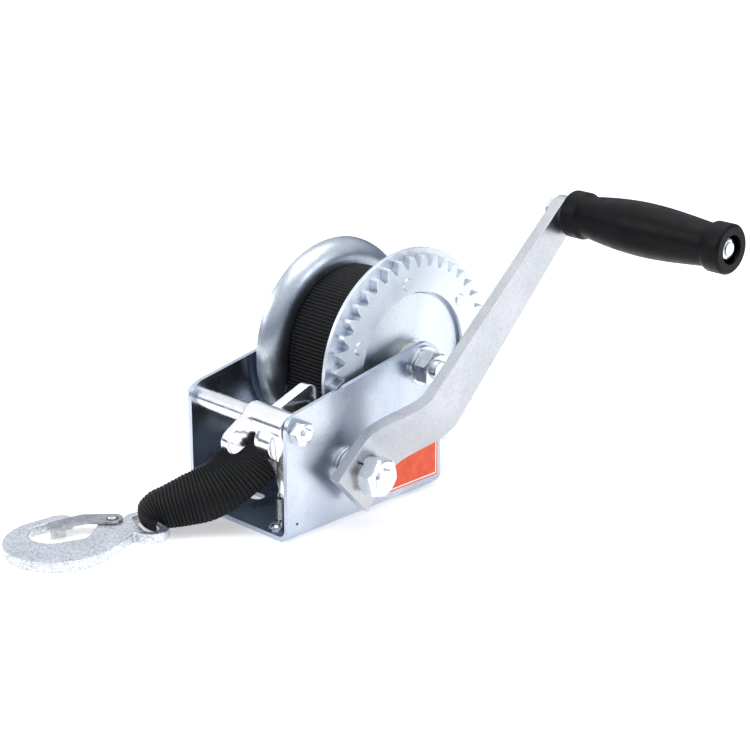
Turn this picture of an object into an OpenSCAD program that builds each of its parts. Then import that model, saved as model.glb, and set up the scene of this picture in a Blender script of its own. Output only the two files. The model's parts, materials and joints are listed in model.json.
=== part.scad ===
// Hand winch for a boat trailer: a U-shaped steel frame, a strap drum driven through a
// 4:1 gear pair by a joggled crank, a two-way ratchet pawl, and a webbing strap with a snap hook.
// X runs along the axles with the crank on +X, -Y is the side the strap leaves, Z is up.
// The origin is the centre of the base's bolt pattern, on the underside of the base.

/* [Frame] */
// Width over the two side plates
frame_w = 86; // [84:1:92]
// Length of the side plates, front to rear
frame_l = 130; // [126:1:140]
// Height of the side plates at the front
front_h = 80; // [78:1:84]
// Thickness of the frame plate
plate_t = 3; // [2.5:0.5:3.5]
// Outer radius of the bends between base and side plates
bend_r = 8; // [6:1:10]
// Distance from the front edge back to the middle of the bolt pattern
front_y = 62; // [58:1:64]

/* [Base mounting slots] */
// Spacing of the slots across the frame
slot_dx = 44; // [40:1:48]
// Spacing of the slots along the frame
slot_dy = 60; // [56:1:62]
// Radius of a slot's rounded ends
slot_r = 4.5; // [4:0.5:5.5]
// Length of a slot, end to end
slot_len = 16; // [13:1:18]

/* [Gear pair] */
// Gear module, 8 diametral pitch
module_mm = 3.175; // [3.175]
// Teeth on the drum gear
gear_teeth = 40; // [40]
// Teeth on the crank pinion
pinion_teeth = 10; // [10]
// Thickness of the drum gear plate
gear_t = 6; // [5:0.5:6]
// Pressure angle
pressure_angle = 25; // [25]
// How much each tooth is thinned at the pitch circle, for backlash
tooth_thinning = 0.16; // [0.12:0.02:0.3]

/* [Drum] */
// Width of the wound webbing pack
pack_w = 50; // [48:1:50]
// Outer radius of the wound webbing pack
pack_r = 48; // [40:1:48]
// Radius of the left flange at its rolled rim
left_flange_r = 64.5; // [62:0.5:66]
// Radius of the right flange disc behind the gear
right_flange_r = 70; // [69:0.5:71]
// Outer radius of the drum tube
barrel_r = 14; // [13:1:16]

/* [Crank] */
// Distance between the pinion shaft and the grip
crank_len = 200; // [180:5:220]
// Angle of the crank above the rear direction
crank_angle = 42.4; // [0:0.2:60]
// Thickness of the crank bar
bar_t = 8; // [7:0.5:8]
// How far the crank bar steps outward past the axle nut
joggle = 25; // [22:1:28]
// Length of the hand grip
grip_len = 116; // [100:1:120]

/* [Hook] */
// Thickness of the forged hook plate
hook_t = 6; // [5:0.5:6.5]
// Outer radius of the hook's bowl
bowl_r = 33; // [31:1:34]
// Distance from the eye to the centre of the bowl
hook_reach = 53; // [50:1:56]
// Angle of the hook away from straight ahead, towards the left
hook_heading = 19; // [10:1:25]

/* [Hidden] */
$fn = 96;

ZINC = [0.78, 0.80, 0.83];
BRIGHT = [0.88, 0.89, 0.90];
BLACK = [0.10, 0.10, 0.11];

half_w = frame_w / 2;
inner_w = half_w - plate_t;
rear_y = frame_l - front_y;

// Centres of the three shafts in the (Y, Z) plane; the gear centres lie on a 4:3:5 triangle
centre_dist = module_mm * (gear_teeth + pinion_teeth) / 2;
PINION = [-12.5, 35.5];
mesh_angle = atan2(3, 4);
AXLE = PINION + centre_dist * [cos(mesh_angle), sin(mesh_angle)];
TIE = [9 - front_y, 68];
GRIP = PINION + crank_len * [cos(crank_angle), sin(crank_angle)];

// Radii of the round pieces and their fits
tie_r = 4;
tube_r = 6.35;
axle_r = 6;
shaft_r = 8;
stud_r = 7;
grip_bolt_r = 4;
fit = 0.05;
gap = 0.3;

// Stations along X
gear_x = 30;
flange_t = 2.5;
pack_x0 = gear_x - flange_t - gap - pack_w;
flange_face = pack_x0 - gap;
boss_t = 2.2;
pinion_x0 = gear_x + 0.4;
pinion_w = 7.6;
hub_x = half_w + 9;
arm_x = hub_x + joggle;
grip_x = arm_x + bar_t + 3;
drum_end = inner_w - 2.2;

// A straight round bar along X, with an optional bore
module bar(x0, x1, r, bore = 0) {
    translate([x0, 0, 0]) rotate([0, 90, 0]) difference() {
        cylinder(r = r, h = x1 - x0);
        if (bore > 0) translate([0, 0, -1]) cylinder(r = bore, h = x1 - x0 + 2);
    }
}

// A hexagon along X, given across its flats, with its corners turned off at both ends
module hex_bar(x0, x1, flats, bore = 0, turn = 0) {
    corner = 0.59 * flats;
    face = 0.48 * flats;
    slope = (corner - face) * tan(30);
    translate([x0, 0, 0]) rotate([0, 90, 0]) difference() {
        intersection() {
            rotate([0, 0, turn]) cylinder(d = flats / cos(30), h = x1 - x0, $fn = 6);
            rotate_extrude() polygon([[0, 0], [face, 0], [corner, slope], [corner, x1 - x0 - slope],
                [face, x1 - x0], [0, x1 - x0]]);
        }
        if (bore > 0) translate([0, 0, -1]) cylinder(r = bore, h = x1 - x0 + 2);
    }
}

// The chamfered point of a bolt or stud, from x outward
module bolt_point(x, r) {
    translate([x, 0, 0]) rotate([0, 90, 0]) cylinder(r1 = r, r2 = r - 0.9, h = 0.9);
}

// Put children drawn about the X axis at a point of the (Y, Z) plane
module at(c) { translate([0, c[0], c[1]]) children(); }

// Extrude a (Y, Z) outline along X from x0 to x1
module side_plate(x0, x1) { translate([x0, 0, 0]) rotate([90, 0, 90]) linear_extrude(x1 - x0) children(); }

// A point at radius r and angle a, and points on an arc of radius r about c
function polar(r, a) = r * [cos(a), sin(a)];
function arc(c, r, a0, a1, n) = [for (i = [0:n]) c + polar(r, a0 + (a1 - a0) * i / n)];

// Involute spur gear outline
function roll(r, base) = let (a = acos(min(1, base / r))) tan(a) * 180 / PI - a;
function half_tooth(r, teeth) = let (pitch = module_mm * teeth / 2, base = pitch * cos(pressure_angle))
    (90 / teeth) - asin(tooth_thinning / 2 / pitch) + roll(pitch, base) - roll(max(r, base), base);
function gear_outline(teeth, root, tip, steps = 5) = let (
        base = module_mm * teeth / 2 * cos(pressure_angle),
        start = max(root, base),
        radii = concat(root < base ? [root] : [], [for (i = [0:steps]) start + (tip - start) * i / steps]),
        last = len(radii) - 1)
    [for (k = [0:teeth - 1]) let (mid = k * 360 / teeth) each concat(
        [for (i = [0:last]) polar(radii[i], mid - half_tooth(radii[i], teeth))],
        [for (i = [0:last]) let (r = radii[last - i]) polar(r, mid + half_tooth(r, teeth))])];

gear_tip = module_mm * (gear_teeth / 2 + 0.9);
gear_root = module_mm * (gear_teeth / 2 - 1.25);
pinion_tip = module_mm * (pinion_teeth / 2 + 1);
pinion_root = module_mm * (pinion_teeth / 2 - 1.25);

// ---- Frame ----

base_l = 104;
ear_r = 16;
EAR = [AXLE[0] + 0.5, AXLE[1] - 2];
corner_r = 11;

// Outline of a side plate: rounded front corner, sloping top edge, raised rounded rear corner
module side_outline() {
    front = -front_y;
    slope = atan2(EAR[1] + ear_r - front_h, EAR[0] - front);
    polygon(concat(
        [[front, 0], [front, front_h - corner_r - 2]],
        arc([front + corner_r, front_h - corner_r - 0.6], corner_r, 180, 90 + slope, 10),
        arc(EAR, ear_r, 90 + slope, 0, 14),
        arc([rear_y - 4, 6.5], 4, 0, -90, 5),
        [[base_l - front_y, 0]]));
}

// Cross-section of the U channel across X, with rounded bends
module channel_section() {
    difference() {
        union() {
            translate([-half_w, bend_r]) square([frame_w, 100]);
            translate([-half_w + bend_r, 0]) square([frame_w - 2 * bend_r, 20]);
            for (s = [-1, 1]) translate([s * (half_w - bend_r), bend_r]) circle(r = bend_r);
        }
        translate([-inner_w, bend_r]) square([2 * inner_w, 120]);
        translate([-half_w + bend_r, plate_t]) square([frame_w - 2 * bend_r, 40]);
        for (s = [-1, 1]) translate([s * (half_w - bend_r), bend_r]) circle(r = bend_r - plate_t);
    }
}

ANCHOR = [24, TIE[0]];

module frame_channel() {
    color(ZINC) difference() {
        intersection() {
            translate([0, rear_y, 0]) rotate([90, 0, 0]) linear_extrude(frame_l) channel_section();
            side_plate(-half_w, half_w) side_outline();
        }
        // The base stops short of the side plates' rear ends
        translate([-inner_w, base_l - front_y, -1]) cube([2 * inner_w, frame_l, 40]);
        at(TIE) bar(-half_w - 1, half_w + 1, tie_r + 0.2);
        at(AXLE) bar(-half_w - 1, half_w + 1, axle_r + 0.2);
        at(PINION) bar(-half_w - 1, half_w + 1, shaft_r + 3);
        for (sx = [-1, 1], sy = [-1, 1]) translate([sx * slot_dx / 2, sy * slot_dy / 2, -1]) {
            flat = slot_len - 2 * slot_r;
            for (e = [-1, 1]) translate([e * flat / 2, 0, 0]) cylinder(r = slot_r, h = plate_t + 2);
            translate([-flat / 2, -slot_r, 0]) cube([flat, 2 * slot_r, plate_t + 2]);
        }
        translate([ANCHOR[0], ANCHOR[1], -1]) cylinder(r = 2, h = plate_t + 2);
        at([7.5 - front_y, 11]) bar(0, half_w + 1, 0.9);
    }
}

// ---- Tie bolt, axle bolt and what is on them ----

module tie_bolt() {
    color(ZINC) at(TIE) {
        bar(-half_w, half_w + 8.1, tie_r);
        bolt_point(half_w + 8.1, tie_r);
        hex_bar(-half_w - 5.5, -half_w, 13);
    }
}

module tie_spacer() { color(ZINC) at(TIE) bar(-inner_w, inner_w, tube_r, tie_r + 0.1); }

module tie_nut() { color(ZINC) at(TIE) hex_bar(half_w, half_w + 6.8, 13, tie_r, 20); }

module axle_bolt() {
    color(ZINC) at(AXLE) {
        bar(-half_w - 2, half_w + 14.6, axle_r);
        bolt_point(half_w + 14.6, axle_r);
        hex_bar(-half_w - 9.5, -half_w - 2, 19);
    }
}

module axle_washers() {
    color(ZINC) at(AXLE) {
        bar(half_w, half_w + 2, 12, axle_r + 0.2);
        bar(-half_w - 2, -half_w, 12, axle_r + 0.2);
    }
}

module axle_nut() { color(ZINC) at(AXLE) hex_bar(half_w + 2, half_w + 12, 19, axle_r, 12); }

module drum_spacers() {
    color(ZINC) at(AXLE) for (s = [-1, 1])
        bar(s > 0 ? drum_end + 0.2 : -inner_w, s > 0 ? inner_w : -drum_end - 0.2, 11, axle_r + 0.15);
}

module shaft_bushings() {
    color(BRIGHT) at(PINION) for (s = [-1, 1]) {
        bar(s > 0 ? inner_w : -half_w, s > 0 ? half_w : -inner_w, shaft_r + 3, shaft_r + fit);
        bar(s > 0 ? half_w : -half_w - 2.4, s > 0 ? half_w + 2.4 : -half_w, 13, shaft_r + fit);
    }
}

// ---- Pawl spring and its anchor ----

spring_z0 = plate_t + 4.2;
spring_z1 = TIE[1] - 43;
spring_r = 2.9;
spring_x = 28;

// Screw with a low round head, riveted over under the base, and a pin for the spring at its edge
module spring_anchor() {
    color(ZINC) translate([ANCHOR[0], ANCHOR[1], 0]) {
        cylinder(r = 2, h = plate_t);
        translate([0, 0, plate_t]) rotate_extrude() polygon(
            [[0, 0], [5.4, 0], [5.0, 1.4], [3.6, 2.6], [0, 2.9]]);
        translate([spring_x - ANCHOR[0], 0, plate_t + 0.5]) cylinder(r = 1.2, h = 3.7);
    }
}

// Extension spring between the anchor and the pawl's tail, as the tube its turns fill
module pawl_spring() {
    color(BRIGHT) translate([spring_x, ANCHOR[1], spring_z0]) difference() {
        cylinder(r = spring_r, h = spring_z1 - spring_z0);
        translate([0, 0, -1]) cylinder(r = spring_r - 0.8, h = spring_z1 - spring_z0 + 2);
    }
}

// ---- Label ----

label_w = 54;
label_h = 24;
module label() {
    color([0.90, 0.30, 0.17]) translate([half_w, rear_y - 3 - label_w, bend_r])
        side_plate(0, 0.25) square([label_w, label_h]);
}

// ---- Webbing ----

web_t = 1.4;

// Middle line of the free strap from the pack to the hook's eye:
// [centre, half width, heading of the width in plan, roll]
TAIL = [
    [[2, 2, 83.1], 24.5, 0, 0], [[2, 0.9, 70], 24.5, 0, 0], [[2, -3, 60], 24.5, 0, 0],
    [[2, -12, 52.5], 24.5, 0, 0], [[2, -24, 48], 24.3, 0, 0], [[1.5, -38, 44], 24.2, 0, 0],
    [[1, -52, 39.8], 24, -2, 2], [[-2, -64, 35], 23, -5, 4], [[-6.5, -75, 30], 21, -9, 7],
    [[-12, -84, 26], 18.5, -13, 7], [[-18, -92, 23], 16, -16, 4], [[-24, -99.5, 20.5], 14, -19, 2],
    [[-28.3, -105, 17], 13, -19, 0], [[-29.5, -107, 11.5], 12.5, -19, 0],
    [[-29.7, -107.2, 6.5], 12.5, -19, 0], [[-29.9, -107.6, 2.2], 12.5, -19, 0]];
function unit(v) = v / norm(v);
function tail_ring(i) = let (
        n = len(TAIL), a = TAIL[max(i - 1, 0)][0], b = TAIL[min(i + 1, n - 1)][0],
        run = unit(b - a), level = [cos(TAIL[i][2]), sin(TAIL[i][2]), 0],
        side = unit(level - run * (level * run)), rise = cross(side, run),
        across = side * cos(TAIL[i][3]) + rise * sin(TAIL[i][3]), up = cross(across, run),
        c = TAIL[i][0], w = TAIL[i][1], t = web_t / 2)
    [c + across * w + up * t, c - across * w + up * t, c - across * w - up * t, c + across * w - up * t];
module strap_tail() {
    n = len(TAIL);
    color(BLACK) polyhedron(
        points = [for (i = [0:n - 1]) each tail_ring(i)],
        faces = concat(
            [[3, 2, 1, 0]], [[4 * n - 4, 4 * n - 3, 4 * n - 2, 4 * n - 1]],
            [for (i = [0:n - 2], k = [0:3]) each let (a = 4 * i + k, b = 4 * i + (k + 1) % 4)
                [[a, b, b + 4], [a, b + 4, a + 4]]]));
}

// ---- Drum ----

module drum_tube() { color(ZINC) at(AXLE) bar(-drum_end, gear_x + boss_t, barrel_r, barrel_r - 2.5); }

strap_bolt_r = 4;
STRAP_BOLT = polar(22, 210);
rivet_circle = 51;
rivet_turn = 37;
rivet_r = 2.6;

// The six places of the rivets that join the gear ring to the right flange
module at_rivets() {
    for (a = [0:5]) rotate([60 * a + rivet_turn, 0, 0]) translate([0, rivet_circle, 0]) children();
}

// Pressed flange whose rim rolls outward in a quarter circle
module left_flange() {
    t = 2;
    roll_r = 12.5;
    flat_r = left_flange_r - roll_r;
    color(ZINC) at(AXLE) difference() {
        rotate([0, 90, 0]) rotate_extrude() {
            translate([barrel_r, flange_face - t]) square([flat_r - barrel_r, t]);
            translate([flat_r, flange_face - roll_r]) intersection() {
                difference() { circle(r = roll_r); circle(r = roll_r - t); }
                square(roll_r);
            }
        }
        at(STRAP_BOLT) bar(flange_face - 20, flange_face + 20, strap_bolt_r + 0.3);
    }
}

// Flat flange disc with a raised boss that centres the gear ring
module right_flange() {
    color(ZINC) at(AXLE) difference() {
        union() {
            bar(gear_x - flange_t, gear_x, right_flange_r, barrel_r);
            bar(gear_x - 1, gear_x + boss_t, ring_r - 1.6, barrel_r);
        }
        at(STRAP_BOLT) bar(0, gear_x + boss_t + 1, strap_bolt_r + 0.3);
        at_rivets() bar(0, gear_x + 1, rivet_r);
    }
}

ring_r = 44;
module drum_gear() {
    color(ZINC) at(AXLE) difference() {
        rotate([mesh_angle + 180, 0, 0]) side_plate(gear_x, gear_x + gear_t)
            polygon(gear_outline(gear_teeth, gear_root, gear_tip));
        bar(0, gear_x + gear_t + 1, ring_r);
        at_rivets() bar(0, gear_x + gear_t + 1, rivet_r);
    }
}

// Six rivets that hold the gear ring to the flange disc, headed over on both sides
module gear_rivets() {
    color(BRIGHT) at(AXLE) at_rivets() {
        bar(gear_x - flange_t, gear_x + gear_t, rivet_r);
        translate([gear_x + gear_t, 0, 0]) rotate([0, 90, 0]) cylinder(r1 = 4, r2 = 3.2, h = 0.9);
    }
}

module drum_bushes() {
    color([0.85, 0.84, 0.78]) at(AXLE) {
        bar(-drum_end, -drum_end + 14, barrel_r - 2.5, axle_r + fit);
        bar(gear_x - 14, drum_end, barrel_r - 2.5, axle_r + fit);
    }
}

module strap_pack() {
    color(BLACK) at(AXLE) difference() {
        bar(pack_x0, pack_x0 + pack_w, pack_r, barrel_r + gap);
        at(STRAP_BOLT) bar(pack_x0 - 1, pack_x0 + pack_w + 1, strap_bolt_r + 0.3);
    }
}

module strap_anchor_bolt() {
    color(ZINC) at(AXLE + STRAP_BOLT) {
        bar(flange_face - 2, gear_x + boss_t + 6.2, strap_bolt_r);
        hex_bar(flange_face - 7.3, flange_face - 2, 13);
    }
}

module strap_anchor_nut() {
    nut_x = gear_x + boss_t;
    color(ZINC) at(AXLE + STRAP_BOLT) hex_bar(nut_x, nut_x + 5, 13, strap_bolt_r, 10);
}

// ---- Crank ----

stud_flat = 5.5;
clip_x = -half_w - 3;

// Shaft with a clip groove at its left end and a flatted stud for the crank bar
module pinion_shaft() {
    color(ZINC) at(PINION) difference() {
        union() {
            bar(clip_x - 4, half_w + 4.6, shaft_r);
            intersection() {
                bar(half_w + 4.6, hub_x + bar_t, stud_r);
                translate([0, -stud_r, -stud_flat]) cube([100, 2 * stud_r, 2 * stud_flat]);
            }
            bar(hub_x + bar_t, hub_x + bar_t + 13.1, stud_r - 0.6);
            bolt_point(hub_x + bar_t + 13.1, stud_r - 0.6);
        }
        difference() {
            bar(clip_x - 1.3, clip_x, shaft_r + 1);
            bar(clip_x - 2, clip_x + 1, shaft_r - 0.8);
        }
    }
}

module pinion() {
    color(ZINC) at(PINION) difference() {
        rotate([mesh_angle + 180 / pinion_teeth, 0, 0]) side_plate(pinion_x0, pinion_x0 + pinion_w)
            polygon(gear_outline(pinion_teeth, pinion_root, pinion_tip));
        bar(0, 60, shaft_r);
    }
}

// Open retaining ring in the shaft's groove
module shaft_clip() {
    color(BRIGHT) at(PINION) difference() {
        bar(clip_x - 1.2, clip_x - 0.1, shaft_r + 3, shaft_r - 0.8);
        translate([clip_x - 5, -2.5, 0]) cube([10, 5, 20]);
    }
}

module thrust_washer() { color(BRIGHT) at(PINION) bar(half_w + 2.6, half_w + 4.6, 12, shaft_r); }

module shaft_spacer() { color(ZINC) at(PINION) bar(half_w + 4.6, hub_x, 10.5, stud_r); }

hub_s0 = -17;
hub_half = 17.6;
tip_half = 9.6;
joggle_s0 = 13;
joggle_s1 = 54;

// Middle line of the bar's joggle, as a smooth step along its length
function step(t) = t * t * (3 - 2 * t);
function joggle_x(s) = hub_x + bar_t / 2
    + joggle * step(min(1, max(0, (s - joggle_s0) / (joggle_s1 - joggle_s0))));
function joggle_edge(s, side) = let (
        dx = joggle_x(s + 0.5) - joggle_x(s - 0.5), n = unit([1, -dx]))
    [joggle_x(s), s] + side * bar_t / 2 * n;
joggle_s = concat([hub_s0], [for (i = [0:16]) joggle_s0 + (joggle_s1 - joggle_s0) * i / 16],
    [crank_len + 14]);

// Tapered bar, square at the hub and round at the grip, bent outward between them
module crank_arm() {
    last = len(joggle_s) - 1;
    color(BRIGHT) at(PINION) rotate([crank_angle, 0, 0]) difference() {
        intersection() {
            side_plate(hub_x - 5, arm_x + bar_t + 5) polygon(concat(
                [[hub_s0, hub_half], [hub_s0, -hub_half]], arc([crank_len, 0], tip_half, -88, 88, 20)));
            translate([0, 0, -30]) linear_extrude(60) polygon(concat(
                [for (i = [0:last]) joggle_edge(joggle_s[i], 1)],
                [for (i = [0:last]) joggle_edge(joggle_s[last - i], -1)]));
        }
        rotate([-crank_angle, 0, 0]) intersection() {
            bar(hub_x - 2, hub_x + bar_t + 2, stud_r);
            translate([0, -stud_r, -stud_flat]) cube([100, 2 * stud_r, 2 * stud_flat]);
        }
        translate([0, crank_len, 0]) bar(arm_x - 2, arm_x + bar_t + 2, grip_bolt_r);
    }
}

module lock_washer() {
    color(BRIGHT) at(PINION) difference() {
        bar(hub_x + bar_t, hub_x + bar_t + 2.4, 11.2, stud_r - 0.6);
        rotate([40, 0, 0]) translate([hub_x, -0.5, 0]) cube([30, 1, 20]);
    }
}

module crank_nut() {
    color(ZINC) at(PINION) hex_bar(hub_x + bar_t + 2.4, hub_x + bar_t + 12.4, 22, stud_r - 0.6, 15);
}

recess = 9;
grip_end = grip_x + grip_len;
module grip_bolt() {
    color(ZINC) at(GRIP) {
        bar(arm_x, grip_end - 1.5, grip_bolt_r);
        hex_bar(arm_x - 5.5, arm_x, 13, 0, 10);
    }
}

module grip_washer() { color(BRIGHT) at(GRIP) bar(arm_x + bar_t, grip_x - 0.3, 8.5, grip_bolt_r); }

module grip_nut() {
    color(BRIGHT) at(GRIP) hex_bar(grip_end - recess + 0.5, grip_end - 2.5, 12, grip_bolt_r);
}

// Moulded grip: a collar at each end and a barrel that swells between them
module grip() {
    n = 24;
    function swell(t) = 12.6 + 3.5 * pow(sin(180 * pow(t, 0.9)), 1.1);
    body = [for (i = [0:n]) [swell(i / n), 14 + (grip_len - 28) * i / n]];
    color(BLACK) at(GRIP) translate([grip_x, 0, 0]) rotate([0, 90, 0]) difference() {
        rotate_extrude() polygon(concat(
            [[0, 0], [13, 0], [14.3, 1.3], [14.3, 11], [13.4, 12.4]], body,
            [[14.2, grip_len - 12.8], [14.8, grip_len - 11.6], [14.8, grip_len - 1.5], [13.4, grip_len],
             [0, grip_len]]));
        translate([0, 0, -1]) cylinder(r = grip_bolt_r + fit, h = grip_len + 2);
        translate([0, 0, grip_len - recess]) cylinder(r = 8.5, h = recess + 1);
    }
}

// ---- Pawl ----

pawl_x0 = 31;
pawl_x1 = 38.5;
swing = 8;
nose_base = 31;

// Directions from the pinion's centre to the two tooth gaps that the noses drop into
upper_gap = mesh_angle + 72;
lower_gap = mesh_angle + 144;
function turned(p, c, a) = let (d = p - c) c + [d[0] * cos(a) - d[1] * sin(a), d[0] * sin(a) + d[1] * cos(a)];
function from_pinion(r, a) = PINION + polar(r, a);

// A nose is drawn where it sits in its gap, then turned back by the swing to the neutral place
module nose(gap_angle, back) {
    polygon([for (q = [[15.9, -4], [19.4, -8.5], [nose_base, -8.5], [nose_base, 8.5], [19.4, 8.5], [15.9, 4]])
        turned(from_pinion(q[0], gap_angle + q[1]), TIE, back)]);
}
module nose_root(gap_angle, back) {
    translate(turned(from_pinion(nose_base, gap_angle), TIE, back)) circle(r = 4, $fn = 32);
}

module pawl_outline() {
    hull() {
        translate(TIE) circle(r = 8.5, $fn = 32);
        nose_root(upper_gap, swing);
        nose_root(lower_gap, -swing);
    }
    nose(upper_gap, swing);
    nose(lower_gap, -swing);
    hull() { translate(TIE) circle(r = 8, $fn = 32); translate([TIE[0], TIE[1] - 41]) circle(r = 4, $fn = 32); }
}

// A flat lever that runs from the pawl's hub to a rounded end
module lever(x0, x1, end, r) {
    side_plate(x0, x1) hull() {
        translate(TIE) circle(r = 8, $fn = 32);
        translate(TIE + end) circle(r = r, $fn = 32);
    }
}

// Round boss with a domed end, below and in front of the hub
DOME = TIE + [-3, -10];
module dome() {
    at(DOME) translate([14, 0, 0]) rotate([0, 90, 0]) rotate_extrude() polygon(
        [[0, 0], [4, 0.6], [7, 2.2], [9, 4.8], [9.8, 8], [9.8, 18], [0, 18]]);
}

// Web that sweeps from the boss down to the tail
module web() {
    translate([0, TIE[0] - 1, 0]) rotate([90, 0, 0]) linear_extrude(4) polygon(
        [[17.6, 48.5], [22.5, 45.2], [26.4, 41.6], [28.8, 37.5], [30.6, 32], [31.5, 28],
         [34, 28], [34, 56], [17.6, 56]]);
}

module pawl() {
    color(BRIGHT) difference() {
        union() {
            side_plate(pawl_x0, pawl_x1) pawl_outline();
            at(TIE) bar(5, pawl_x1 - 0.5, 9.6);
            dome();
            web();
            lever(5, 11, [-18.5, -10], 7.5);
            lever(18, 25, [27, 10], 7.5);
        }
        at(TIE) bar(0, pawl_x1 + 2, tube_r + fit);
        at([TIE[0], TIE[1] - 41]) bar(pawl_x0 - 1, pawl_x1 + 1, 1.3);
    }
}

// ---- Hook ----

EYE = [-33, -107];

// Place something drawn in the hook's own plane: +X of the drawing runs from eye to bowl,
// +Y of the drawing is the side of the hook's mouth
module hook_place() {
    translate([EYE[0], EYE[1], 0]) rotate([0, 0, -90 - hook_heading]) mirror([0, 1, 0]) children();
}

RIVET = [16.5, 9];
BOWL = [hook_reach, -3.5];
module spot(c, r) { translate(c) circle(r = r, $fn = 48); }
module hook_outline() {
    difference() {
        union() {
            hull() { spot([0, -10], 11.5); spot([0, 4], 11.5); }
            intersection() {
                hull() { translate(BOWL) circle(r = bowl_r); spot([12, -0.5], 11); }
                translate([0, -60]) square([120, 68]);
            }
            translate(BOWL) circle(r = bowl_r);
            hull() { spot([44, 24], 8); spot([58, 20], 9); }
            spot(RIVET, 6.5);
        }
        hull() { spot([53.5, 7.5], 14.5); spot([42, 2], 9.5); spot([33, 12], 8); }
        polygon([[25, 12], [23.4, 30], [24, 45], [37, 45], [36, 25], [38, 16]]);
    }
}

module hook() {
    color(ZINC) difference() {
        hook_place() linear_extrude(hook_t) difference() {
            hook_outline();
            hull() for (s = [-1, 1]) spot([0, s * 8.5 - 3], 5);
        }
        hook_place() translate([RIVET[0], RIVET[1], -1]) cylinder(r = 2, h = hook_t + 2);
    }
}

module latch_rivet() {
    color(BRIGHT) hook_place() translate([RIVET[0], RIVET[1], 0]) {
        cylinder(r = 2, h = hook_t + 2.2);
        translate([0, 0, hook_t + 2.2]) cylinder(r1 = 3.8, r2 = 2.6, h = 1.2);
    }
}

// Flat latch that closes the mouth, with a tab bent down behind the hook's tip
LATCH_TIP = [50, 14.5];
module latch() {
    color(BRIGHT) hook_place() difference() {
        union() {
            translate([0, 0, hook_t + 0.3]) linear_extrude(1.6) {
                hull() { spot(RIVET, 6.2); spot([32, 16], 6); }
                hull() { spot([32, 16], 6); spot(LATCH_TIP, 5); }
            }
            translate([LATCH_TIP[0] - 5, LATCH_TIP[1] - 5.1, 1]) cube([9, 1.6, hook_t + 0.9]);
        }
        translate([RIVET[0], RIVET[1], -1]) cylinder(r = 2 + fit, h = hook_t + 4);
    }
}

frame_channel();
tie_bolt();
tie_spacer();
tie_nut();
axle_bolt();
axle_washers();
axle_nut();
drum_spacers();
shaft_bushings();
spring_anchor();
pawl_spring();
label();
strap_tail();
drum_tube();
left_flange();
right_flange();
drum_gear();
gear_rivets();
drum_bushes();
strap_pack();
strap_anchor_bolt();
strap_anchor_nut();
pinion_shaft();
pinion();
shaft_clip();
thrust_washer();
shaft_spacer();
crank_arm();
lock_washer();
crank_nut();
grip_bolt();
grip_washer();
grip_nut();
grip();
pawl();
hook();
latch_rivet();
latch();
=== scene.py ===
"""Boat trailer winch: materials, detail pieces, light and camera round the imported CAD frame.

Lengths inside the builders are in millimetres, along the CAD's axes, and make_piece() turns
them into metres.
"""
import json
import math

import bmesh
import bpy
from mathutils import Matrix, Vector, noise


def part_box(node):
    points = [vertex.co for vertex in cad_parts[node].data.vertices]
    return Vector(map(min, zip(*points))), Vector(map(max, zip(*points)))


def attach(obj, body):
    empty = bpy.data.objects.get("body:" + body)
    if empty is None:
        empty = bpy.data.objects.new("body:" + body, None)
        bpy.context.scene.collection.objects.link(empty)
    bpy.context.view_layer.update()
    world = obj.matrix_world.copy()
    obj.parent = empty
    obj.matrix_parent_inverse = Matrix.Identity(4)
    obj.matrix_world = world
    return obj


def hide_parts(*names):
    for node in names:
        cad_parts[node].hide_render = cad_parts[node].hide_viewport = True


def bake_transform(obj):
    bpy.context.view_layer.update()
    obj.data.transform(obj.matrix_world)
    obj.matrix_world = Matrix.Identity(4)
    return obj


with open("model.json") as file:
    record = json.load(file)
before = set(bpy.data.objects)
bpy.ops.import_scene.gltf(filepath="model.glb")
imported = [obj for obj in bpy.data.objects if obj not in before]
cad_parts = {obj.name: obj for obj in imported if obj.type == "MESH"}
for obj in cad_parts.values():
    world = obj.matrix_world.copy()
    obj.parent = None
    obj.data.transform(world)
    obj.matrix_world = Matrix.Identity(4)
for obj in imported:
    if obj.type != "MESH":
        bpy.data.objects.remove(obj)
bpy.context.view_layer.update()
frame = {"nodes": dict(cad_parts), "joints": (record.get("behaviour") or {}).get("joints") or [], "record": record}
NODES = frame["nodes"]

MM = 0.001


# ---- Places taken from the frame, in millimetres ----

def corners(node):
    """Lowest and highest corner of a CAD node."""
    low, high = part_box(node)
    return low / MM, high / MM


def pivot(joint):
    """The point that a joint turns about."""
    found = next(j for j in frame["joints"] if j["name"] == joint)
    return Vector(found["pos_m"]) / MM


AXLE = pivot("drum_spin")
PINION = pivot("crank_spin")
TIE = pivot("pawl_pivot")


# ---- Materials ----

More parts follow.
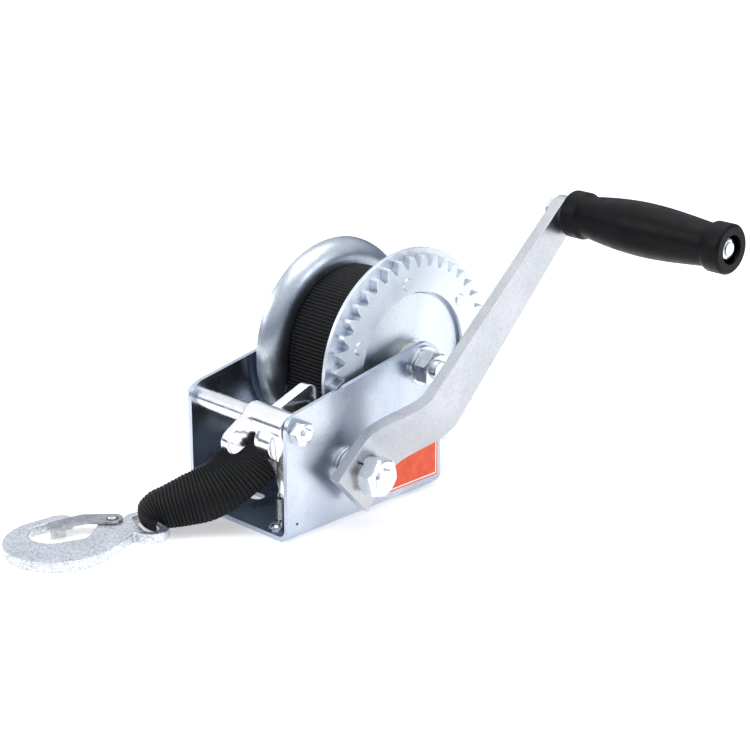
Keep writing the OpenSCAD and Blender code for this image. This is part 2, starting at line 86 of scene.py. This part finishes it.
class Surface:
    """One material's node tree, with short calls for the nodes that it uses."""

    def __init__(self, name, **settings):
        self.material = bpy.data.materials.new(name)
        self.material.use_nodes = True
        self.tree = self.material.node_tree
        self.shader = self.tree.nodes["Principled BSDF"]
        for socket, value in settings.items():
            self.shader.inputs[socket.replace("_", " ")].default_value = value
        self.place = self.node("ShaderNodeTexCoord").outputs["Object"]

    def node(self, kind, **settings):
        made = self.tree.nodes.new(kind)
        for name, value in settings.items():
            setattr(made, name, value)
        return made

    def feed(self, socket, value):
        if isinstance(value, bpy.types.NodeSocket):
            self.tree.links.new(value, socket)
        else:
            socket.default_value = value

    def stretched(self, stretch):
        """The object's coordinates, scaled along each axis."""
        if stretch == (1, 1, 1):
            return self.place
        mapping = self.node("ShaderNodeMapping")
        mapping.inputs["Scale"].default_value = stretch
        self.feed(mapping.inputs["Vector"], self.place)
        return mapping.outputs["Vector"]

    def noise(self, scale, detail=3.0, stretch=(1, 1, 1), distortion=0.0):
        made = self.node("ShaderNodeTexNoise")
        self.feed(made.inputs["Vector"], self.stretched(stretch))
        self.feed(made.inputs["Scale"], scale)
        self.feed(made.inputs["Detail"], detail)
        self.feed(made.inputs["Distortion"], distortion)
        return made.outputs["Fac"]

    def ramp(self, fac, *stops):
        """A colour ramp; each stop is a position with a colour or a grey."""
        made = self.node("ShaderNodeValToRGB")
        ramp = made.color_ramp
        while len(ramp.elements) < len(stops):
            ramp.elements.new(0.5)
        for element, (position, colour) in zip(ramp.elements, stops):
            element.position = position
            element.color = (*colour, 1.0) if isinstance(colour, tuple) else (*[colour] * 3, 1.0)
        self.feed(made.inputs["Fac"], fac)
        return made.outputs["Color"]

    def math(self, operation, a, b=0.0):
        made = self.node("ShaderNodeMath", operation=operation)
        self.feed(made.inputs[0], a)
        self.feed(made.inputs[1], b)
        return made.outputs["Value"]

    def blend(self, fac, a, b, mode="MIX"):
        made = self.node("ShaderNodeMix", data_type="RGBA", blend_type=mode)
        self.feed(made.inputs["Factor"], fac)
        for socket, value in (("A", a), ("B", b)):
            self.feed(next(s for s in made.inputs if s.name == socket and s.type == "RGBA"), value)
        return next(s for s in made.outputs if s.type == "RGBA")

    def bump(self, height, strength, distance, under=None):
        """A bump of a height in millimetres, over another one where under is given."""
        made = self.node("ShaderNodeBump")
        self.feed(made.inputs["Height"], height)
        self.feed(made.inputs["Strength"], strength)
        self.feed(made.inputs["Distance"], distance * MM)
        if under is not None:
            self.feed(made.inputs["Normal"], under)
        return made.outputs["Normal"]

    def finish(self, colour=None, rough=None, normal=None):
        for socket, value in (("Base Color", colour), ("Roughness", rough), ("Normal", normal)):
            if value is not None:
                self.feed(self.shader.inputs[socket], value)
        return self.material


def zinc_plate():
    """Bright zinc on sheet steel: upright blue-grey clouds, fine speckle and a rolled grain."""
    s = Surface("zinc_plate", Metallic=1.0)
    clouds = s.ramp(s.noise(26, 4, stretch=(1, 1, 0.35), distortion=0.5),
                    (0.34, (0.517, 0.576, 0.683)), (0.66, (0.686, 0.725, 0.798)))
    speckle = s.ramp(s.noise(1300, 2), (0.36, 0.88), (0.56, 1.0))
    rough = s.ramp(s.noise(60, 6, distortion=0.4), (0.3, 0.24), (0.75, 0.36))
    grain = s.bump(s.noise(900, 3, stretch=(1, 0.12, 1)), 0.08, 0.10)
    waves = s.bump(s.noise(30, 2), 0.10, 0.6, grain)
    return s.finish(s.blend(1.0, clouds, speckle, "MULTIPLY"), rough, waves)


def zinc_pressed():
    """Zinc over a pressed and rolled flange, faintly mottled where the metal was stretched."""
    s = Surface("zinc_pressed", Metallic=1.0)
    clouds = s.ramp(s.noise(45, 5, distortion=0.6),
                    (0.32, (0.449, 0.488, 0.552)), (0.66, (0.562, 0.598, 0.655)))
    pits = s.ramp(s.noise(900, 3), (0.34, 0.86), (0.50, 1.0))
    rough = s.ramp(s.noise(110, 6), (0.3, 0.27), (0.72, 0.38))
    dents = s.bump(s.noise(500, 3), 0.06, 0.2)
    return s.finish(s.blend(1.0, clouds, pits, "MULTIPLY"), rough, dents)


def zinc_gear():
    """Zinc on a sheared gear blank: paler and flatter than the frame, with a sandy grain."""
    s = Surface("zinc_gear", Metallic=1.0)
    clouds = s.ramp(s.noise(40, 5), (0.3, (0.683, 0.734, 0.8)), (0.7, (0.811, 0.844, 0.893)))
    sand = s.ramp(s.noise(1500, 3), (0.34, 0.84), (0.54, 1.0))
    rough = s.ramp(s.noise(80, 5), (0.3, 0.32), (0.7, 0.44))
    grain = s.bump(s.noise(1100, 3), 0.12, 0.12)
    return s.finish(s.blend(1.0, clouds, sand, "MULTIPLY"), rough, grain)


def zinc_hardware():
    """Bright zinc on machined fasteners, with fine turning marks."""
    s = Surface("zinc_hardware", Metallic=1.0)
    colour = s.ramp(s.noise(120, 4), (0.3, (0.703, 0.721, 0.756)), (0.7, (0.87, 0.879, 0.896)))
    rough = s.ramp(s.noise(260, 4), (0.3, 0.17), (0.72, 0.32))
    turning = s.bump(s.noise(1600, 2, stretch=(1, 0.25, 0.25)), 0.12, 0.10)
    return s.finish(colour, rough, turning)


def zinc_bar():
    """Bright zinc on the forged crank bar: smooth, with a faint sandy grain."""
    s = Surface("zinc_bar", Metallic=1.0)
    clouds = s.ramp(s.noise(30, 4, distortion=0.4),
                    (0.3, (0.521, 0.535, 0.571)), (0.7, (0.619, 0.623, 0.649)))
    grain = s.ramp(s.noise(1100, 3), (0.36, 0.86), (0.54, 1.0))
    rough = s.ramp(s.noise(120, 5), (0.3, 0.26), (0.72, 0.40))
    dents = s.bump(s.noise(420, 3), 0.10, 0.2)
    return s.finish(s.blend(1.0, clouds, grain, "MULTIPLY"), rough, dents)


def galvanised():
    """Zinc over forged steel: a pale, sandy, faintly pitted skin."""
    s = Surface("galvanised", Metallic=1.0)
    sand = s.ramp(s.noise(900, 4, distortion=0.3),
                  (0.36, (0.552, 0.577, 0.629)), (0.56, (0.885, 0.905, 0.932)))
    clouds = s.ramp(s.noise(60, 5), (0.3, 0.84), (0.7, 1.0))
    rough = s.ramp(s.noise(700, 3), (0.3, 0.34), (0.7, 0.52))
    lumps = s.bump(s.noise(300, 3), 0.12, 0.25)
    pits = s.bump(s.noise(1000, 3), 0.20, 0.12, lumps)
    return s.finish(s.blend(1.0, sand, clouds, "MULTIPLY"), rough, pits)


def cast_zinc():
    """Polished, plated casting: soft waves in the skin and a few brushed patches."""
    s = Surface("cast_zinc", Metallic=1.0)
    colour = s.ramp(s.noise(55, 4), (0.3, (0.891, 0.891, 0.9)), (0.7, (0.975, 0.975, 0.98)))
    rough = s.ramp(s.noise(130, 5, distortion=0.5), (0.35, 0.13), (0.75, 0.26))
    return s.finish(colour, rough, s.bump(s.noise(120, 2), 0.12, 0.5))


def spring_steel():
    """Plain spring steel, thinly plated and a little uneven."""
    s = Surface("spring_steel", Metallic=1.0)
    colour = s.ramp(s.noise(300, 4), (0.3, (0.374, 0.382, 0.396)), (0.7, (0.576, 0.583, 0.598)))
    return s.finish(colour, s.ramp(s.noise(400, 3), (0.3, 0.24), (0.7, 0.42)))


def webbing():
    """Black polyester webbing: the ribs are in the mesh, the yarn's threads in the bump."""
    s = Surface("webbing", Sheen_Weight=0.02, Sheen_Roughness=0.4)
    s.shader.inputs["Specular IOR Level"].default_value = 0.38
    colour = s.ramp(s.noise(2600, 3),
                    (0.32, (0.0014, 0.0014, 0.0019)), (0.70, (0.0075, 0.0071, 0.0082)))
    threads = s.bump(s.noise(1500, 2, stretch=(2.2, 1, 1)), 0.55, 0.25)
    return s.finish(colour, s.ramp(s.noise(500, 3), (0.3, 0.40), (0.7, 0.58)), threads)


def grip_plastic():
    """Black moulded plastic with a satin, finely pebbled skin."""
    s = Surface("grip_plastic")
    s.shader.inputs["Specular IOR Level"].default_value = 0.24
    colour = s.ramp(s.noise(70, 4),
                    (0.3, (0.002, 0.002, 0.00236)), (0.7, (0.005, 0.005, 0.00551)))
    rough = s.ramp(s.noise(160, 5), (0.3, 0.34), (0.7, 0.50))
    return s.finish(colour, rough, s.bump(s.noise(1700, 3), 0.14, 0.12))


def bush_plastic():
    """Off-white bearing plastic."""
    s = Surface("bush_plastic")
    colour = s.ramp(s.noise(150, 4), (0.3, (0.66, 0.63, 0.54)), (0.7, (0.80, 0.77, 0.68)))
    rough = s.ramp(s.noise(300, 3), (0.3, 0.38), (0.7, 0.55))
    return s.finish(colour, rough, s.bump(s.noise(900, 2), 0.08, 0.1))


def label_film(low, high, border):
    """Red-orange film with a pale line inside its edge; low and high are its corners in (Y, Z)."""
    s = Surface("label_film", Coat_Weight=0.35, Coat_Roughness=0.18)
    split = s.node("ShaderNodeSeparateXYZ")
    s.feed(split.inputs["Vector"], s.place)
    inset = []
    for axis, a, b in (("Y", low[0], high[0]), ("Z", low[1], high[1])):
        middle, half = (a + b) / 2 * MM, (b - a) / 2 * MM
        away = s.math("ABSOLUTE", s.math("SUBTRACT", split.outputs[axis], middle))
        inset.append(s.math("SUBTRACT", half, away))
    edge = s.math("MINIMUM", inset[0], inset[1])
    past_edge = s.math("GREATER_THAN", edge, border * MM)
    line = s.math("MULTIPLY", past_edge, s.math("LESS_THAN", edge, 2 * border * MM))
    red = s.ramp(s.noise(240, 5), (0.3, (0.70, 0.075, 0.022)), (0.7, (0.86, 0.115, 0.035)))
    colour = s.blend(line, red, (0.90, 0.86, 0.80, 1.0))
    rough = s.ramp(s.noise(500, 4), (0.3, 0.34), (0.7, 0.50))
    return s.finish(colour, rough, s.bump(s.noise(300, 3), 0.06, 0.2))


LABEL_LOW, LABEL_HIGH = corners("label")
LABEL_LINE = 0.9
MATERIALS = {
    "zinc_plate": zinc_plate(),
    "zinc_pressed": zinc_pressed(),
    "zinc_gear": zinc_gear(),
    "zinc_hardware": zinc_hardware(),
    "zinc_bar": zinc_bar(),
    "galvanised": galvanised(),
    "cast_zinc": cast_zinc(),
    "spring_steel": spring_steel(),
    "webbing": webbing(),
    "grip_plastic": grip_plastic(),
    "bush_plastic": bush_plastic(),
    "label_film": label_film(LABEL_LOW.yz, LABEL_HIGH.yz, LABEL_LINE),
}
# CAD nodes with a finer material than their slot's own
FINER = {"left_flange": "zinc_pressed", "right_flange": "zinc_gear", "drum_gear": "zinc_gear",
         "gear_rivets": "zinc_gear", "crank_arm": "zinc_bar"}


def paint(obj, name):
    obj.data.materials.clear()
    obj.data.materials.append(MATERIALS[name])


# ---- Mesh building ----

def smooth_shade(mesh, angle):
    """Smooth shading, apart from edges sharper than the angle."""
    mesh.shade_smooth()
    mesh.set_sharp_from_angle(angle=math.radians(angle))


def make_piece(name, verts, faces, material, body, replaces=(), angle=60):
    """A closed mesh in millimetres becomes a piece, which rides on a body if one is given."""
    mesh = bpy.data.meshes.new(name)
    mesh.from_pydata([Vector(v) * MM for v in verts], [], faces)
    work = bmesh.new()
    work.from_mesh(mesh)
    bmesh.ops.recalc_face_normals(work, faces=work.faces)
    work.to_mesh(mesh)
    work.free()
    smooth_shade(mesh, angle)
    obj = bpy.data.objects.new(name, mesh)
    bpy.context.scene.collection.objects.link(obj)
    paint(obj, material)
    if body:
        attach(obj, body)
    if replaces:
        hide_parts(*replaces)
    return obj


def skin(rings):
    """Points and faces of a surface through rings of equal length, capped at both ends."""
    n, count = len(rings[0]), len(rings)
    faces = []
    for i in range(count - 1):
        a, b = i * n, (i + 1) * n
        faces += [(a + k, a + (k + 1) % n, b + (k + 1) % n, b + k) for k in range(n)]
    faces += [tuple(range(n - 1, -1, -1)), tuple(range((count - 1) * n, count * n))]
    return [p for ring in rings for p in ring], faces


def tube_rings(points, radius, sides):
    """Rings round a path, kept from twisting by carrying the side direction along."""
    rings = []
    side = None
    for i, p in enumerate(points):
        run = (points[min(i + 1, len(points) - 1)] - points[max(i - 1, 0)]).normalized()
        if side is None:
            side = run.orthogonal().normalized()
        side = (side - run * side.dot(run)).normalized()
        rise = run.cross(side)
        rings.append([p + radius * (side * math.cos(a) + rise * math.sin(a))
                      for a in (math.tau * k / sides for k in range(sides))])
    return rings


def spline(points, per_span):
    """A Catmull-Rom curve through tuples of numbers, with as many steps in every span."""
    out = []
    last = len(points) - 1
    for i in range(last):
        p0, p1, p2, p3 = (points[min(max(k, 0), last)] for k in (i - 1, i, i + 1, i + 2))
        for step in range(per_span):
            t = step / per_span
            out.append(tuple(
                0.5 * (2 * b + (c - a) * t + (2 * a - 5 * b + 4 * c - d) * t * t
                       + (3 * b - a - 3 * c + d) * t ** 3)
                for a, b, c, d in zip(p0, p1, p2, p3)))
    out.append(tuple(points[-1]))
    return out


def evenly(points, pitch):
    """Resample rows of numbers, whose first three are a place, to places that are pitch apart."""
    out = [points[0]]
    travelled, target = 0.0, pitch
    for a, b in zip(points, points[1:]):
        span = math.dist(a[:3], b[:3])
        while span > 0 and travelled + span >= target:
            t = (target - travelled) / span
            out.append(tuple(x + (y - x) * t for x, y in zip(a, b)))
            target += pitch
        travelled += span
    return out


# ---- CAD nodes that stay, with broken edges ----

# Width of the bevel on each node's edges
BROKEN_EDGE = {
    "frame_channel": 0.55, "crank_arm": 1.1, "drum_gear": 0.2, "right_flange": 0.25, "latch": 0.3,
    "tie_nut": 0.35, "axle_nut": 0.45, "crank_nut": 0.5, "strap_anchor_nut": 0.3, "grip_nut": 0.3,
    "tie_bolt": 0.3, "axle_bolt": 0.4, "grip_bolt": 0.35, "strap_anchor_bolt": 0.3,
    "axle_washers": 0.35, "thrust_washer": 0.3, "shaft_bushings": 0.4, "shaft_spacer": 0.4,
    "lock_washer": 0.3, "grip_washer": 0.3, "tie_spacer": 0.3, "pinion": 0.3, "drum_spacers": 0.3,
    "spring_anchor": 0.15, "gear_rivets": 0.25, "latch_rivet": 0.2, "left_flange": 0.4,
    "pinion_shaft": 0.3, "grip": 0.35, "shaft_clip": 0.15, "label": 0.05,
}
# Faces with many holes keep their triangles, because merging them would tear the face
PIERCED = ("drum_gear", "right_flange", "frame_channel", "gear_rivets")
WELD_GAP = 0.002
FLAT_ANGLE = 0.4
EDGE_ANGLE = 32


def weld_points(obj):
    """Join the points that the CAD's triangles have in common."""
    weld = obj.modifiers.new("weld", "WELD")
    weld.merge_threshold = WELD_GAP * MM


def break_edges(obj, width):
    """Round a CAD node's sharp edges with modifiers, which leave its own mesh as it is."""
    mesh = obj.data
    if "custom_normal" in mesh.attributes:
        mesh.attributes.remove(mesh.attributes["custom_normal"])
    mesh.shade_smooth()
    weld_points(obj)
    if obj.name not in PIERCED:
        flat = obj.modifiers.new("flat", "DECIMATE")
        flat.decimate_type = "DISSOLVE"
        flat.angle_limit = math.radians(FLAT_ANGLE)
    bevel = obj.modifiers.new("bevel", "BEVEL")
    bevel.width = width * MM
    bevel.segments = 2
    bevel.limit_method = "ANGLE"
    bevel.angle_limit = math.radians(EDGE_ANGLE)
    bevel.harden_normals = True


SLOT_OF = {part["node"]: part["material_slot"] for part in frame["record"]["subparts"]}
for node, cad in NODES.items():
    paint(cad, FINER.get(node, SLOT_OF[node]))
    if node in BROKEN_EDGE:
        break_edges(cad, BROKEN_EDGE[node])


# ---- Screw threads on the exposed ends of bolts ----

def thread(name, body, centre, x0, x1, radius, pitch):
    """Helical ridge from x0 to x1 on a bolt's end; radius is that of the thread's root."""
    around, per_turn, depth = 40, 6, 0.30
    rows = max(2, round((x1 - x0) / pitch * per_turn))
    rings = []
    for i in range(rows + 1):
        x = x0 + (x1 - x0) * i / rows
        ring = []
        for k in range(around):
            turn = k / around
            phase = ((x - x0) / pitch - turn) % 1.0
            fade = min(1.0, (x - x0) / pitch * 2, (x1 - x) / pitch * 2)
            r = radius + 0.02 + depth * fade * (1 - abs(2 * phase - 1))
            angle = math.tau * turn
            ring.append(centre + Vector((x, r * math.cos(angle), r * math.sin(angle))))
        rings.append(ring)
    make_piece(name, *skin(rings), "zinc_hardware", body)


def in_plane(place):
    """A joint's place with its X dropped, so that X can be given from the frame's middle."""
    return Vector((0, place.y, place.z))


# Node, its nut, its body, its middle, its radius and its thread's pitch
THREADED = (
    ("tie_bolt", "tie_nut", "frame", TIE, 4.0, 1.25),
    ("axle_bolt", "axle_nut", "frame", AXLE, 6.0, 1.75),
    ("pinion_shaft", "crank_nut", "crank", PINION, 6.4, 2.0),
)
INSIDE_NUT = 1.0
SHORT_OF_END = 0.9
ROOT = 0.25
for node, nut, body, centre, radius, pitch in THREADED:
    thread(node + "_thread", body, in_plane(centre), corners(nut)[1].x - INSIDE_NUT,
           corners(node)[1].x - SHORT_OF_END, radius - ROOT, pitch)


# ---- Webbing ----

WEB_THICK = 1.4
RIB_PITCH = 2.3
RIB_HEIGHT = 0.75
RIB_STEPS = 8
RIB_STEP = RIB_PITCH / RIB_STEPS
TURN_GAP = 0.03
RIBBED_TURNS = 1.15
STEPS_PER_PLAIN_TURN = 90
CELLS_ACROSS = 20


def rib(s):
    """Height of the ribs at a distance along the webbing: round cords with narrow valleys."""
    return RIB_HEIGHT * (abs(math.sin(math.pi * s / RIB_PITCH)) - 0.75)


def pack_rings():
    """The wound webbing: plain inner turns, and ribs on the outer one where they show."""
    low, high = corners("strap_pack")
    outer = (high.z - low.z) / 2
    tube_low, tube_high = corners("drum_tube")
    inner = (tube_high.z - tube_low.z) / 2 + 0.4
    turns = round((outer - inner) / (WEB_THICK + TURN_GAP))
    lift = (outer - inner) / turns
    end_angle = math.pi
    rings = []
    length = 0.0
    turn = 0.0
    middle = (low.x + high.x) / 2
    half = (high.x - low.x) / 2 - 0.25
    cells = (-1.0, -0.96, -0.6, -0.2, 0.2, 0.6, 0.96, 1.0)
    while turn < turns:
        angle = end_angle - math.tau * (turns - turn)
        out = Vector((0, math.cos(angle), math.sin(angle)))
        ribbed = turn > turns - RIBBED_TURNS
        relief = rib(length) if ribbed else 0.0
        hub = in_plane(AXLE) + out * (inner + WEB_THICK / 2 + lift * turn * (1 - 0.5 / turns))
        ring = []
        for c in cells:
            face = WEB_THICK / 2 + relief - (0.3 if abs(c) == 1 else 0)
            ring.append(hub + out * face + Vector((middle + c * half, 0, 0)))
        for c in reversed(cells):
            ring.append(hub - out * (WEB_THICK / 2 - 0.05) + Vector((middle + c * half, 0, 0)))
        rings.append(ring)
        radius = (hub - in_plane(AXLE)).length
        step = RIB_STEP if ribbed else math.tau * radius / STEPS_PER_PLAIN_TURN
        length += step
        turn += step / (math.tau * radius)
    return rings, length


rings, pack_length = pack_rings()
pack = make_piece("webbing_pack", *skin(rings), "webbing", "drum", replaces=["strap_pack"])

# Stations of the free strap: its crown's place, its half width and the depth of its curl, then
# heading and roll in degrees. It lies over the pack as the last part of a turn, hangs down its
# front, curls as it is gathered, and folds down through the hook's eye.
PACK_LOW, PACK_HIGH = corners("strap_pack")
WRAP_RADIUS = (PACK_HIGH.z - PACK_LOW.z) / 2 + 1.1
WRAP = [(2, AXLE.y + WRAP_RADIUS * math.cos(a), AXLE.z + WRAP_RADIUS * math.sin(a), 24.5, 0.3, 0, 0)
        for a in (math.radians(-30 + 15 * k) for k in range(15))]
STRAP = WRAP + [
    (2, 1.7, 76, 24.5, 0.3, 0, 0),
    (2, 0.5, 68, 24.5, 0.4, 0, 0),
    (2, -3.4, 60, 24.5, 0.5, 0, 0),
    (2, -12, 53.2, 24.5, 0.6, 0, 0),
    (2, -24, 48.8, 24.4, 0.8, 0, 0),
    (1.5, -38, 45.2, 24.2, 1.4, -1, 1),
    (1, -52, 41.5, 23.8, 2.8, -3, 4),
    (-0.5, -64, 38, 22.8, 6, -6, 10),
    (-3.5, -75, 34.3, 21, 10, -9, 18),
    (-8, -84, 31.2, 19.5, 13, -13, 24),
    (-14, -92, 28.6, 17.8, 14, -16, 22),
    (-20.5, -99.5, 25.6, 16.4, 13.5, -19, 15),
    (-26.4, -106.2, 22, 15, 11.5, -19, 8),
    (-29.8, -111, 16.6, 13.4, 8, -19, 2),
    (-30.4, -111.4, 10, 12.8, 5, -19, 0),
    (-30, -109.4, 4.6, 12.6, 3, -19, 0),
]
STEPS_PER_STATION = 16


def strap_rings(stations):
    """Rings of the free strap, several to a rib, with ribs on both faces and a thin selvedge."""
    rows = evenly(spline(stations, STEPS_PER_STATION), RIB_STEP)
    rings = []
    for i, row in enumerate(rows):
        x, y, z, half, depth, heading, roll = row
        before, after = rows[max(i - 3, 0)], rows[min(i + 3, len(rows) - 1)]
        run = (Vector(after[:3]) - Vector(before[:3])).normalized()
        level = Vector((math.cos(math.radians(heading)), math.sin(math.radians(heading)), 0))
        side = (level - run * level.dot(run)).normalized()
        rise = run.cross(side)
        turned = Matrix.Rotation(math.radians(-roll), 3, run)
        side, rise = turned @ side, turned @ rise
        depth = max(depth, 0.05)
        bend = (half * half + depth * depth) / (2 * depth)
        sweep = math.atan2(half, bend - depth)
        crown = Vector((x, y, z))
        relief = rib(i * RIB_STEP)
        top, under = [], []
        for k in range(CELLS_ACROSS + 1):
            c = 2 * k / CELLS_ACROSS - 1
            angle = c * sweep
            out = side * math.sin(angle) + rise * math.cos(angle)
            wave = 0.35 * noise.noise(crown * 0.06 + Vector((c * 1.3, 0, 0))) * min(1, depth / 3)
            middle = crown - rise * bend + out * (bend + wave)
            thin = 0.35 if abs(c) == 1 else 0.0
            top.append(middle + out * (WEB_THICK / 2 + relief - thin))
            under.append(middle - out * (WEB_THICK / 2 + relief * 0.6 - thin))
        rings.append(top + under[::-1])
    return rings, len(rows) * RIB_STEP


rings, strap_length = strap_rings(STRAP)
strap = make_piece("webbing_strap", *skin(rings), "webbing", None, replaces=["strap_tail"])
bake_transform(strap)


# ---- Pawl spring ----

def pawl_spring():
    """Extension spring: a loop on edge at each end, with close turns between them."""
    low, high = corners("pawl_spring")
    x, y = (low.x + high.x) / 2, (low.y + high.y) / 2
    wire = 0.5
    coil = (high.x - low.x) / 2 - wire
    turns, steps = 12, 20
    rise = high.z - low.z - 2 * coil
    z0 = low.z + coil
    path = []
    for k in range(steps):
        a = math.tau * (k / steps - 0.25)
        path.append(Vector((x, y + coil * math.cos(a), z0 - coil + coil * math.sin(a) + 0.4)))
    for k in range(turns * steps):
        a = math.tau * k / steps
        path.append(Vector((x + coil * math.sin(a), y + coil * math.cos(a),
                            z0 + rise * k / (turns * steps))))
    top = z0 + rise
    for k in range(steps + 1):
        a = math.tau * k / steps
        path.append(Vector((x + 0.3, y + coil * math.cos(a),
                            top + coil + coil * math.sin(a - 0.2))))
    smooth = [Vector(p) for p in spline([tuple(p) for p in path], 2)]
    spring = make_piece("extension_spring", *skin(tube_rings(smooth, wire, 8)), "spring_steel",
                        None, replaces=["pawl_spring"], angle=80)
    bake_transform(spring)


pawl_spring()


# ---- Forged hook and cast pawl: the CAD's shapes with their edges worn round ----

VOXEL = 0.45


def worn_round(source, name, passes, material, body):
    """A copy of a CAD node, remeshed and smoothed as forging and tumbling leave it."""
    mesh = source.data.copy()
    obj = bpy.data.objects.new(name, mesh)
    bpy.context.scene.collection.objects.link(obj)
    weld_points(obj)
    cells = obj.modifiers.new("cells", "REMESH")
    cells.mode = "VOXEL"
    cells.voxel_size = VOXEL * MM
    relax = obj.modifiers.new("relax", "SMOOTH")
    relax.factor = 0.5
    relax.iterations = passes
    graph = bpy.context.evaluated_depsgraph_get()
    settled = bpy.data.meshes.new_from_object(obj.evaluated_get(graph))
    obj.modifiers.clear()
    obj.data = settled
    settled.shade_smooth()
    paint(obj, material)
    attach(obj, body)
    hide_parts(source.name)


worn_round(NODES["hook"], "forged_hook", 7, "galvanised", "hook")
worn_round(NODES["pawl"], "cast_pawl", 6, "cast_zinc", "pawl")


# ---- Floor, light and camera ----

def stage_floor():
    """White paper that glows faintly, so that it stays white under soft lights."""
    bpy.ops.mesh.primitive_plane_add(size=12, location=(0, 0, -0.0002))
    floor = bpy.context.object
    floor.name = "floor"
    s = Surface("floor_paint", Emission_Color=(1, 1, 1, 1), Emission_Strength=0.36)
    s.shader.inputs["Specular IOR Level"].default_value = 0.1
    s.finish(s.ramp(s.noise(3, 2), (0.3, 0.78), (0.7, 0.82)), 0.8)
    floor.data.materials.append(s.material)


# How bright the room is in reflections, from straight down at 0 to straight up at 1
ROOM = ((0.40, (0.02, 0.025, 0.04)), (0.53, (0.04, 0.05, 0.085)), (0.62, (0.38, 0.43, 0.53)),
        (0.80, (0.86, 0.88, 0.90)))


def studio_world():
    """White to the camera; in reflections a soft studio with a bright ceiling and dark sides."""
    world = bpy.data.worlds.new("studio")
    bpy.context.scene.world = world
    world.use_nodes = True
    tree = world.node_tree
    tree.nodes.clear()
    place = tree.nodes.new("ShaderNodeTexCoord")
    split = tree.nodes.new("ShaderNodeSeparateXYZ")
    tree.links.new(place.outputs["Generated"], split.inputs["Vector"])
    height = tree.nodes.new("ShaderNodeValToRGB")
    while len(height.color_ramp.elements) < len(ROOM):
        height.color_ramp.elements.new(0.5)
    for element, (position, colour) in zip(height.color_ramp.elements, ROOM):
        element.position = position
        element.color = (*colour, 1)
    scaled = tree.nodes.new("ShaderNodeMath")
    scaled.operation = "MULTIPLY_ADD"
    scaled.inputs[1].default_value = 0.5
    scaled.inputs[2].default_value = 0.5
    tree.links.new(split.outputs["Z"], scaled.inputs[0])
    tree.links.new(scaled.outputs["Value"], height.inputs["Fac"])
    room = tree.nodes.new("ShaderNodeBackground")
    room.inputs["Strength"].default_value = 1.0
    tree.links.new(height.outputs["Color"], room.inputs["Color"])
    seen = tree.nodes.new("ShaderNodeBackground")
    seen.inputs["Color"].default_value = (1, 1, 1, 1)
    seen.inputs["Strength"].default_value = 1.0
    path = tree.nodes.new("ShaderNodeLightPath")
    choose = tree.nodes.new("ShaderNodeMixShader")
    tree.links.new(path.outputs["Is Camera Ray"], choose.inputs[0])
    tree.links.new(room.outputs[0], choose.inputs[1])
    tree.links.new(seen.outputs[0], choose.inputs[2])
    output = tree.nodes.new("ShaderNodeOutputWorld")
    tree.links.new(choose.outputs[0], output.inputs["Surface"])


# Where the camera stands and what it and the lights aim at, in metres
CAMERA = Vector((0.8348, -0.7947, 0.4840))
AIM = Vector((0.0473, 0.0058, 0.0890))
LENS = 97.1


def aim(obj, place):
    """Put a lamp or camera at a place and turn it towards the winch."""
    obj.location = place
    obj.rotation_euler = (AIM - obj.location).to_track_quat("-Z", "Y").to_euler()


def softbox(name, place, power, width, height, colour=(1, 1, 1)):
    light = bpy.data.lights.new(name, "AREA")
    light.shape = "RECTANGLE"
    light.size = width
    light.size_y = height
    light.energy = power
    light.color = colour
    obj = bpy.data.objects.new(name, light)
    bpy.context.scene.collection.objects.link(obj)
    aim(obj, place)


def studio_lights():
    softbox("overhead", (0.1, 0.1, 1.5), 7, 1.3, 1.3)
    softbox("front_left", (-0.7, -1.2, 0.9), 4, 0.8, 0.8, (1.0, 0.99, 0.97))
    softbox("right_side", (1.4, 0.5, 0.6), 4, 0.6, 1.0, (0.96, 0.98, 1.0))


def set_camera():
    camera = bpy.data.cameras.new("camera")
    camera.lens = LENS
    camera.sensor_width = 36
    obj = bpy.data.objects.new("camera", camera)
    bpy.context.scene.collection.objects.link(obj)
    aim(obj, CAMERA)
    bpy.context.scene.camera = obj


stage_floor()
studio_world()
studio_lights()
set_camera()
bpy.context.scene.view_settings.view_transform = "Standard"
bpy.context.scene.view_settings.look = "Medium High Contrast"
